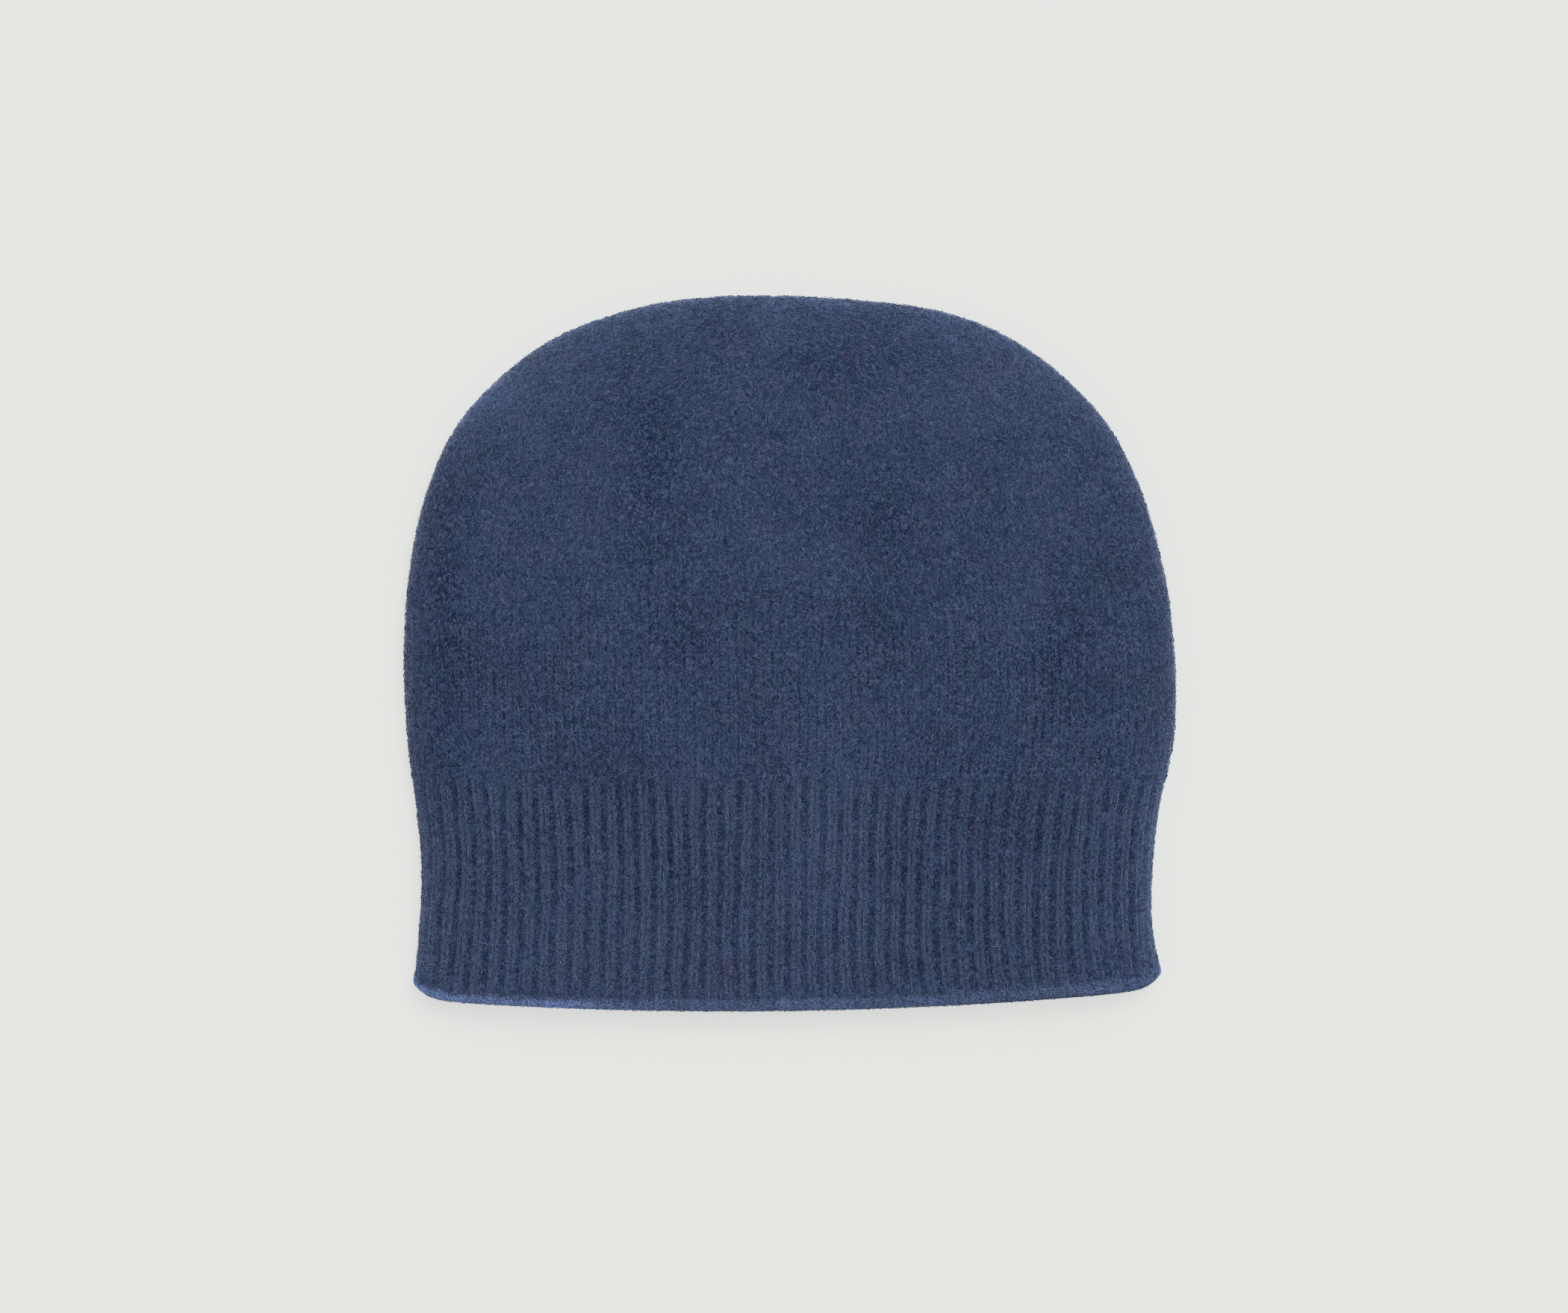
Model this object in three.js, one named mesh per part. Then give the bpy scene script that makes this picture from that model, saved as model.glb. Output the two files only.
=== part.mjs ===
// A fine-knit pull-on hat, lying flat on its back: a plain knit crown and a ribbed band.
// Millimetres. +X is to the right, +Y runs from the mouth to the crown's top, and +Z points up from
// the surface that the hat lies on.
import {
  Box3,
  BufferAttribute,
  CatmullRomCurve3,
  Color,
  Group,
  LatheGeometry,
  MathUtils,
  Mesh,
  MeshStandardMaterial,
  Vector2,
  Vector3,
} from "three";

// Overall sizes, as the hat lies
const HAT_WIDTH = 227;
const HAT_LENGTH = 210;
const CROWN_LIFT = 21; // top of the crown above the surface
const MOUTH_LIFT = 15; // top of the mouth's edge above the surface

// The knit
const CROWN_WALL = 2.4;
const BAND_WALL = 3;
const BAND_DEPTH = 68; // from the hem up to the plain knit
const FOLD_SPACE = 1.2; // radius left open inside a side fold
const JOIN_GAP = 0.3; // between the band's last course and the crown's first

// How finely the two shells are faceted
const FACETS_AROUND = 60;
const CROWN_COURSES = 28;
const BAND_COURSES = 7;
const HEM_STEPS = 3;
const TOP_CLOSING = 1.25; // the crown's facets get shorter towards its top
const EDGE_SAMPLES = 1200; // steps along the outline that the fold is measured from
const EDGE_RUN_ON = 40; // such steps that each end runs on past the mouth
const TURN_STEP = 0.05; // short steps along the skin, in radians and in shares of the rows
const ROW_STEP = 0.006;
const ON_THE_FOLD = 1e-6; // what still counts as the fold itself

// Courses of the knit from the hem to the top, each a row. left and right are where it turns over
// at the side folds, across from the middle as shares of HAT_WIDTH, and leftUp and rightUp are how
// far up from the hem's lowest point, as shares of HAT_LENGTH. sag is how far the course hangs below
// its folds in the middle, as a share of HAT_LENGTH, and lift goes from 0, MOUTH_LIFT, to 1, CROWN_LIFT.
const COURSES = [
  { left: -0.488, leftUp: 0.03, right: 0.482, rightUp: 0.045, sag: 0.039, lift: 0.0 },
  { left: -0.481, leftUp: 0.112, right: 0.47, rightUp: 0.12, sag: 0.027, lift: 0.08 },
  { left: -0.478, leftUp: 0.196, right: 0.471, rightUp: 0.201, sag: 0.0135, lift: 0.25 },
  { left: -0.485, leftUp: 0.285, right: 0.48, rightUp: 0.285, sag: 0.004, lift: 0.5 },
  { left: -0.496, leftUp: 0.379, right: 0.498, rightUp: 0.379, sag: 0.0, lift: 0.78 },
  { left: -0.5, leftUp: 0.473, right: 0.5, rightUp: 0.473, sag: 0.0, lift: 0.95 },
  { left: -0.497, leftUp: 0.5675, right: 0.492, rightUp: 0.5675, sag: 0.0126, lift: 1.0 },
  { left: -0.4865, leftUp: 0.656, right: 0.475, rightUp: 0.656, sag: 0.0324, lift: 1.0 },
  { left: -0.4655, leftUp: 0.74, right: 0.45, rightUp: 0.74, sag: 0.0565, lift: 1.0 },
  { left: -0.43, leftUp: 0.8185, right: 0.411, rightUp: 0.8185, sag: 0.0816, lift: 1.0 },
  { left: -0.3705, leftUp: 0.8885, right: 0.3525, rightUp: 0.8865, sag: 0.1, lift: 0.98 },
  { left: -0.299, leftUp: 0.942, right: 0.2835, rightUp: 0.94, sag: 0.1046, lift: 0.95 },
  { left: -0.217, leftUp: 0.9755, right: 0.2135, rightUp: 0.971, sag: 0.089, lift: 0.92 },
  { left: -0.1345, leftUp: 0.993, right: 0.13, rightUp: 0.988, sag: 0.052, lift: 0.9 },
  { left: -0.0215, leftUp: 0.9985, right: -0.0215, rightUp: 0.9985, sag: 0.0, lift: 0.9 },
];
const CORNER_SHARE = 0.4; // share of a course's sag that it takes in the corners beside its folds
const CORNER_TIGHTNESS = 12;

// Soft hollows and swells in the upper layer: across and up place the middle of each, wide and tall
// are its reach, all as shares of HAT_WIDTH and HAT_LENGTH, and deep is a share of CROWN_LIFT.
const HOLLOWS = [
  { across: -0.19, up: 0.74, wide: 0.13, tall: 0.09, deep: 0.055 },
  { across: 0.08, up: 0.62, wide: 0.1, tall: 0.1, deep: 0.05 },
  { across: 0.33, up: 0.5, wide: 0.09, tall: 0.13, deep: 0.05 },
  { across: -0.36, up: 0.47, wide: 0.07, tall: 0.12, deep: 0.045 },
  { across: -0.28, up: 0.86, wide: 0.12, tall: 0.05, deep: -0.05 },
  { across: 0.2, up: 0.88, wide: 0.14, tall: 0.035, deep: -0.045 },
  { across: 0.0, up: 0.33, wide: 0.3, tall: 0.035, deep: 0.03 },
];

const KNIT_COLOUR = new Color("#37435c");
const RIB_COLOUR = new Color("#38445e");

const FOLD_RADIUS = Math.max(CROWN_WALL, BAND_WALL) + FOLD_SPACE;

// The hat's outline from the left end of the mouth over the top to the right end, as one smooth curve.
// A course's left fold lies as far from the curve's start as its right fold lies from its end.
const outline = new CatmullRomCurve3(
  [
    ...COURSES.map((row) => sharePoint(row.left, row.leftUp)),
    ...COURSES.slice(0, -1).reverse().map((row) => sharePoint(row.right, row.rightUp)),
  ],
  false,
  "catmullrom",
  0.5,
);
const hang = new CatmullRomCurve3(
  COURSES.map((row) => new Vector3(row.sag * HAT_LENGTH, row.lift, 0)),
  false,
  "catmullrom",
  0.5,
);

function sharePoint(across, up) {
  return new Vector3(across * HAT_WIDTH, up * HAT_LENGTH, 0);
}

// The two folds of a course and how it hangs between them. row runs from 0, the hem, to 1, the top.
function courseAt(row) {
  const { x: sag, y: lift } = hang.getPoint(row);
  return { left: outline.getPoint(row / 2), right: outline.getPoint(1 - row / 2), sag, lift };
}

// How far up the hat's middle a course lies.
function middleOf(row) {
  const { left, right, sag } = courseAt(row);
  return (left.y + right.y) / 2 - sag;
}

// The row of the course whose middle lies that far up.
function rowAt(up) {
  let low = 0;
  let high = 1;
  for (let halving = 0; halving < 40; halving += 1) {
    const row = (low + high) / 2;
    if (middleOf(row) < up) low = row;
    else high = row;
  }
  return (low + high) / 2;
}

// The outline as short straight steps, with each end run on past the mouth.
const edge = Array.from({ length: EDGE_SAMPLES + 1 }, (_, n) => outline.getPoint(n / EDGE_SAMPLES));
edge.unshift(edge[0].clone().lerp(edge[1], -EDGE_RUN_ON));
edge.push(edge.at(-1).clone().lerp(edge.at(-2), -EDGE_RUN_ON));

// How far in from the outline a point of the plan lies.
function insetOf(x, y) {
  let nearest = Infinity;
  for (let n = 0; n + 1 < edge.length; n += 1) {
    const dx = edge[n + 1].x - edge[n].x;
    const dy = edge[n + 1].y - edge[n].y;
    const along = ((x - edge[n].x) * dx + (y - edge[n].y) * dy) / (dx * dx + dy * dy);
    const t = MathUtils.clamp(along, 0, 1);
    nearest = Math.min(nearest, Math.hypot(x - edge[n].x - t * dx, y - edge[n].y - t * dy));
  }
  return nearest;
}

function hollowAt(x, y) {
  return HOLLOWS.reduce((sum, dent) => {
    const across = (x / HAT_WIDTH - dent.across) / dent.wide;
    const up = (y / HAT_LENGTH - dent.up) / dent.tall;
    return sum + dent.deep * CROWN_LIFT * Math.exp(-across * across - up * up);
  }, 0);
}

// Height of the upper layer over the surface: round at the fold, then a long low swell.
function topHeight(x, y, inset, lift) {
  const rise = MathUtils.lerp(MOUTH_LIFT, CROWN_LIFT, lift) - FOLD_RADIUS;
  const reach = (rise * rise) / FOLD_RADIUS;
  const swell = Math.min(inset / reach, 1);
  const ease = Math.min(inset / (2 * FOLD_RADIUS), 1);
  return FOLD_RADIUS + rise * Math.sqrt(swell * (2 - swell)) - hollowAt(x, y) * ease;
}

// The lower layer turns in under the fold as a quarter circle and then lies on the surface.
function underHeight(inset) {
  const turned = Math.min(inset / FOLD_RADIUS, 1);
  return FOLD_RADIUS * (1 - Math.sqrt(turned * (2 - turned)));
}

// A point of the hat's outer skin. turn goes round the hat from the middle of the upper layer,
// over the +X fold and back under, in radians.
function skinPoint(turn, row) {
  const { left, right, sag, lift } = courseAt(row);
  const across = Math.sin(turn);
  const facing = Math.cos(turn);
  const corner = Math.tanh(CORNER_TIGHTNESS * facing * facing);
  const hangs = MathUtils.lerp(facing * facing, corner, CORNER_SHARE);
  const x = MathUtils.lerp(left.x, right.x, (1 + across) / 2);
  const y = MathUtils.lerp(left.y, right.y, (1 + across) / 2) - sag * hangs;
  const inset = Math.abs(facing) < ON_THE_FOLD ? 0 : insetOf(x, y);
  return new Vector3(x, y, facing > 0 ? topHeight(x, y, inset, lift) : underHeight(inset));
}

// Directions on the skin there, from short steps along it: out of the hat, and on past the course
// towards the mouth.
function skinFrame(turn, row) {
  if (row > 1 - ROW_STEP) return { out: new Vector3(0, 1, 0), past: new Vector3() };
  const round = skinPoint(turn + TURN_STEP, row).sub(skinPoint(turn - TURN_STEP, row)).normalize();
  const up = skinPoint(turn, row + ROW_STEP).sub(skinPoint(turn, Math.max(row - ROW_STEP, 0)));
  const out = round.clone().cross(up).normalize();
  return { out, past: round.cross(out) };
}

// A closed shell of knit. wall lists the points of its cut edge in order: the row each lies on, how
// deep under the skin it is, how far it reaches past the row towards the mouth, and whether it is on
// the cut where the two pieces meet, which goes straight across the hat. A lathe turns the wall into
// a round blank, and the blank's points are then laid flat.
function knitShell(name, wall, colour) {
  const blank = new LatheGeometry(
    wall.map(({ row }) => new Vector2(row < 1 ? HAT_WIDTH : 0, row * HAT_LENGTH)),
    FACETS_AROUND,
  );
  const laid = new Float32Array(blank.getAttribute("position").count * 3);
  for (let slice = 0; slice <= FACETS_AROUND; slice += 1) {
    const turn = ((slice % FACETS_AROUND) / FACETS_AROUND) * 2 * Math.PI;
    wall.forEach(({ row, deep = 0, reach = 0, meets = false }, n) => {
      const { out, past } = skinFrame(turn, row);
      if (meets) out.setY(0).normalize();
      const point = skinPoint(turn, row).addScaledVector(out, -deep).addScaledVector(past, reach);
      point.toArray(laid, (slice * wall.length + n) * 3);
    });
  }
  blank.setAttribute("position", new BufferAttribute(laid, 3));
  blank.computeVertexNormals();
  const mesh = new Mesh(blank, new MeshStandardMaterial({ color: colour, roughness: 0.95 }));
  mesh.name = name;
  return mesh;
}

// Rows from one to the other, both ends included. They come closer together towards the last
// where closing is over 1.
function rowsBetween(from, to, count, closing = 1) {
  const share = (n) => 1 - (1 - n / (count - 1)) ** closing;
  return Array.from({ length: count }, (_, n) => MathUtils.lerp(from, to, share(n)));
}

// From the inside of the top down to the first course, and up the outside to the top again
function crownWall() {
  const rows = rowsBetween(rowAt(BAND_DEPTH + JOIN_GAP / 2), 1, CROWN_COURSES, TOP_CLOSING);
  const outside = rows.map((row) => ({ row }));
  const inside = rows.map((row, n) => ({ row, deep: CROWN_WALL, meets: n === 0 }));
  return [...inside.reverse(), ...outside];
}

// Up the outside, down the inside and round the hem
function bandWall() {
  const hem = rowAt(BAND_WALL / 2);
  const rows = rowsBetween(hem, rowAt(BAND_DEPTH - JOIN_GAP / 2), BAND_COURSES);
  const outside = rows.map((row) => ({ row }));
  const inside = rows.map((row, n) => ({ row, deep: BAND_WALL, meets: n === BAND_COURSES - 1 }));
  const lip = Array.from({ length: HEM_STEPS }, (_, n) => {
    const bend = (Math.PI * (HEM_STEPS - n)) / (HEM_STEPS + 1);
    const half = BAND_WALL / 2;
    return { row: hem, deep: half * (1 - Math.cos(bend)), reach: half * Math.sin(bend) };
  });
  return [...outside, ...inside.reverse(), ...lip, outside[0]];
}

const hat = new Group();
hat.add(knitShell("crown", crownWall(), KNIT_COLOUR), knitShell("ribbed_band", bandWall(), RIB_COLOUR));

// The origin goes under the middle of the hat, on the surface that it lies on.
const extent = new Box3().setFromObject(hat);
const middle = extent.getCenter(new Vector3());
hat.position.set(-middle.x, -middle.y, -extent.min.z);

export default hat;
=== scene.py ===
"""A ribbed knit hat lying flat on a pale floor. Metres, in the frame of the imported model."""

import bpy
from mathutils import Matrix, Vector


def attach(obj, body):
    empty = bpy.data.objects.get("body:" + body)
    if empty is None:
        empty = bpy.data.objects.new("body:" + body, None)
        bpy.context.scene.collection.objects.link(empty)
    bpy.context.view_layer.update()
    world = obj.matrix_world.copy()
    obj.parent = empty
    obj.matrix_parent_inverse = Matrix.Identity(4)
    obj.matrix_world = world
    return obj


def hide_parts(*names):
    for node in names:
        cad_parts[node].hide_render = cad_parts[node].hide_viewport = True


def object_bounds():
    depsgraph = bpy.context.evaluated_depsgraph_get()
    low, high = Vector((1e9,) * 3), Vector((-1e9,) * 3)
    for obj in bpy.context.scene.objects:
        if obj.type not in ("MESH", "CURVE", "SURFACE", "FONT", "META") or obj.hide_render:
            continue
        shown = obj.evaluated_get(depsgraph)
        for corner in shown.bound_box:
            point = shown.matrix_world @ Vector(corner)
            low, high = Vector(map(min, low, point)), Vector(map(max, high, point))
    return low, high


bl_info = {
    "name": "Ribbed Knit Hat",
    "version": (1, 0, 0),
    "blender": (4, 5, 0),
    "location": "View3D > Sidebar > Knit Hat",
    "description": "Builds a felted knit hat with a ribbed band, lying flat, and the stage around it",
    "category": "Object",
}

import math

import bmesh
import bpy
import numpy as np
from bpy.props import FloatProperty, FloatVectorProperty, IntProperty, PointerProperty
from bpy.types import Operator, Panel, PropertyGroup
from mathutils import Vector

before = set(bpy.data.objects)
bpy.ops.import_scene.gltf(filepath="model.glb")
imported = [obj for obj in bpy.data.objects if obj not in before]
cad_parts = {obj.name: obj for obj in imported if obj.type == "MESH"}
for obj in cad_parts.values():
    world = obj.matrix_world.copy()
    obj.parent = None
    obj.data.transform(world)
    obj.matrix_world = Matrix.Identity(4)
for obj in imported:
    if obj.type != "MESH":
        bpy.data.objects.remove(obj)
CAD_BOX = [list(corner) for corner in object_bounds()]
CAD_WIDTH, CAD_LENGTH, CAD_HEIGHT = (round(high - low, 3) for low, high in zip(*CAD_BOX))
MM = 0.001

# Courses of the knit from the hem to the top, as in the solid model: where each turns over at its left
# and right side folds (across as a share of the width, up as a share of the length), how far it sags
# between them (a share of the length) and how high it lies, from 0 at the mouth to 1 at the crown.
COURSES = (
    # left, left_up, right, right_up, sag, lift
    (-0.488, 0.03, 0.482, 0.045, 0.039, 0.0),
    (-0.481, 0.112, 0.47, 0.12, 0.027, 0.08),
    (-0.478, 0.196, 0.471, 0.201, 0.0135, 0.25),
    (-0.485, 0.285, 0.48, 0.285, 0.004, 0.5),
    (-0.496, 0.379, 0.498, 0.379, 0.0, 0.78),
    (-0.5, 0.473, 0.5, 0.473, 0.0, 0.95),
    (-0.497, 0.5675, 0.492, 0.5675, 0.0126, 1.0),
    (-0.4865, 0.656, 0.475, 0.656, 0.0324, 1.0),
    (-0.4655, 0.74, 0.45, 0.74, 0.0565, 1.0),
    (-0.43, 0.8185, 0.411, 0.8185, 0.0816, 1.0),
    (-0.3705, 0.8885, 0.3525, 0.8865, 0.1, 0.98),
    (-0.299, 0.942, 0.2835, 0.94, 0.1046, 0.95),
    (-0.217, 0.9755, 0.2135, 0.971, 0.089, 0.92),
    (-0.1345, 0.993, 0.13, 0.988, 0.052, 0.9),
    (-0.0215, 0.9985, -0.0215, 0.9985, 0.0, 0.9),
)
# A course that sags hangs in a soft curve, but for this share of its sag, which it takes at its corners.
CORNER_SHARE = 0.4
CORNER_TIGHTNESS = 12

# Soft hollows and swells of the upper layer: middle and reach, as shares of the width and the length,
# and depth as a share of the crown's lift.
HOLLOWS = (
    # across, up, wide, tall, deep
    (-0.19, 0.74, 0.13, 0.09, 0.055),
    (0.08, 0.62, 0.1, 0.1, 0.05),
    (0.33, 0.5, 0.09, 0.13, 0.05),
    (-0.36, 0.47, 0.07, 0.12, 0.045),
    (-0.28, 0.86, 0.12, 0.05, -0.05),
    (0.2, 0.88, 0.14, 0.035, -0.045),
    (0.0, 0.33, 0.3, 0.035, 0.03),
)

# Broad patches where the pile is lighter or darker, painted shade along the left edge among them: middle and
# reach, as shares of the width and the length, and how light, from -1 to 1.
PILE_PATCHES = (
    # across, up, wide, tall, light
    (-0.175, 0.75, 0.035, 0.1, -1.0),
    (-0.445, 0.56, 0.024, 0.22, -0.9),
    (-0.14, 0.54, 0.035, 0.06, -0.6),
    (-0.215, 0.31, 0.06, 0.06, -0.5),
    (0.09, 0.9, 0.07, 0.03, -0.6),
    (0.1, 0.69, 0.06, 0.035, -0.6),
    (0.11, 0.54, 0.06, 0.035, -0.5),
    (0.36, 0.5, 0.045, 0.07, -0.7),
    (0.27, 0.27, 0.09, 0.07, -0.6),
    (-0.33, 0.83, 0.12, 0.08, 0.36),
    (0.25, 0.87, 0.12, 0.05, 0.6),
    (0.05, 0.24, 0.06, 0.2, 0.7),
    (-0.25, 0.08, 0.15, 0.05, 0.4),
)

RIBS = 92
# steps of the grid that the skin is worked out on, round the hat and up it
SKIN_COLUMNS = 960
SKIN_ROWS = 260
# faces of the two shells, round the hat and up it, outside and inside
CROWN_COLUMNS = RIBS * 4
CROWN_ROWS = 84
CROWN_LINING_ROWS = 14
CROWN_LINING_TOP = 0.985
BAND_COLUMNS = RIBS * 12
BAND_ROWS = 50
BAND_LINING_ROWS = 8
HEM_STEPS = 8
# an edge that turns more than this, in radians, is shaded as a crease
CREASE = 1.25
# how far single fibres stray from the yarn's tone, and how much of the pile's patches of light and dark they
# take
GRAIN = 0.45
PATCH_SHARE = 0.36
SHEEN_TINT = (0.6, 0.7, 0.95, 1)

# half the floor's side, the point that the camera stands over and its lens
FLOOR_REACH = 8.0
VIEW_POINT = (-0.0018, -0.0011)
LENS_MM = 85
# how broad the soft light looks, and which way it leans over the floor
KEY_BREADTH = math.radians(40)
KEY_WAY = (0.5, 0.87)
ROOM_COLOUR = (0.985, 0.99, 1.0, 1)


def length_of(name, description, default):
    """A length in metres, as a property."""
    return FloatProperty(name=name, description=description, default=default, unit="LENGTH")


def colour_of(name, description, default):
    """A colour, as a property."""
    return FloatVectorProperty(
        name=name, description=description, default=default, subtype="COLOR", min=0, max=1
    )


class KnitHatShape(PropertyGroup):
    """Sizes of the hat and of its knit"""

    width: length_of("Width", "Across the hat as it lies, at its widest", CAD_WIDTH)
    length: length_of("Length", "From the hem to the top of the crown, as it lies", CAD_LENGTH)
    crown_lift: length_of("Crown lift", "Height of the crown's upper layer over the floor", CAD_HEIGHT)
    mouth_lift: length_of("Mouth lift", "Height of the mouth's upper edge over the floor", 0.015)
    crown_wall: length_of("Crown wall", "Thickness of the plain knit", 0.0024)
    band_wall: length_of("Band wall", "Thickness of the ribbed knit", 0.003)
    band_depth: length_of("Band depth", "From the hem up to the plain knit", 0.068)
    fold_space: length_of("Fold space", "Radius left open inside a side fold", 0.0012)
    # how strong the sheen and light painted pale on the folds, the rims and the upper side are
    painted_fold_sheen: FloatProperty(
        name="Painted fold sheen", description="How strong the sheen painted pale on the folds is", default=0.7, min=0, max=1
    )
    ribs: IntProperty(name="Ribs", description="Ribs all round the band", default=RIBS, min=12)
    rib_relief: length_of("Rib relief", "Depth of the grooves between two ribs", 0.001)
    course_pitch: length_of("Course pitch", "Height of one stitch", 0.00145)


class KnitHatYarn(PropertyGroup):
    """Colours and fuzz of the yarn"""

    base: colour_of("Yarn", "Main colour of the yarn", (0.0262, 0.049, 0.1195))
    shade: colour_of("Shade", "Colour between the strands", (0.0066, 0.012, 0.039))
    strand: colour_of("Strand", "Colour of the lightest strands", (0.15, 0.195, 0.33))
    heather: colour_of("Heather", "Purple-grey that drifts through the yarn", (0.046, 0.0505, 0.121))
    teal: colour_of("Teal", "Greener blue that drifts through the yarn", (0.0205, 0.0535, 0.116))
    # the hem's felt and the painted highlight, sheen and light on the hem, folds and rims blend to this paler
    # blue
    hem: colour_of("Hem", "Felted, lighter blue of the rolled hem", (0.098, 0.14, 0.265))
    curls: IntProperty(name="Curls", description="Curled loose fibres on the crown", default=46000, min=0)
    curl_length: length_of("Curl length", "Middle length of a curled fibre", 0.0016)
    curl_width: length_of("Curl width", "Width of a curled fibre", 0.00022)
    nap: IntProperty(name="Nap", description="Short fibres on the crown", default=94000, min=0)
    nap_length: length_of("Nap length", "Middle length of a short fibre", 0.00055)
    nap_width: length_of("Nap width", "Width of a short fibre", 0.00023)
    fibre_lift: length_of("Fibre lift", "How far a fibre's middle stands off the knit", 0.00024)


class KnitHatStage(PropertyGroup):
    """Floor, light and camera"""

    floor: colour_of("Floor", "Colour of the floor", (0.8, 0.808, 0.782))
    floor_glow: FloatProperty(
        name="Floor glow",
        description="Share of the floor's brightness that it gives itself, as a light table does",
        default=0.78,
        min=0,
        max=1,
    )
    surround: FloatProperty(
        name="Surround", description="Strength of the pale light from all round", default=0.42, min=0
    )
    backdrop: FloatProperty(
        name="Backdrop", description="How pale the room behind the floor looks", default=0.8, min=0
    )
    key: FloatProperty(name="Key", description="Strength of the large soft light", default=1.8, min=0)
    key_tilt: FloatProperty(
        name="Key tilt",
        description="How far the soft light leans from straight above, to the upper right",
        default=math.radians(26),
        subtype="ANGLE",
    )
    view_height: length_of("Camera height", "Camera over the hat", 1.0955)


def settings():
    """The scene's sizes of the hat, its yarn and the stage."""
    scene = bpy.context.scene
    return scene.knit_hat_shape, scene.knit_hat_yarn, scene.knit_hat_stage


def ramp(value, start, reach):
    """Even from 0 at start to 1 at start + reach, and held at either beyond them."""
    return np.clip((value - start) / reach, 0, 1)


def bump(value, middle, reach):
    """1 at the middle and softly less away from it, by reach."""
    return np.exp(-(((value - middle) / reach) ** 2))


def smooth_curve(points, share):
    """Points of a uniform Catmull-Rom curve through points, at shares of its run from 0 to 1."""
    ends = np.vstack([2 * points[0] - points[1], points, 2 * points[-1] - points[-2]])
    at = np.clip(share, 0, 1) * (len(points) - 1)
    first = np.minimum(at.astype(int), len(points) - 2)
    w = (at - first)[:, None]
    p0, p1, p2, p3 = (ends[first + n] for n in range(4))
    bend = (2 * p0 - 5 * p1 + 4 * p2 - p3) * w**2 + (3 * p1 - p0 - 3 * p2 + p3) * w**3
    return 0.5 * (2 * p1 + (p2 - p0) * w + bend)


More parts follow.
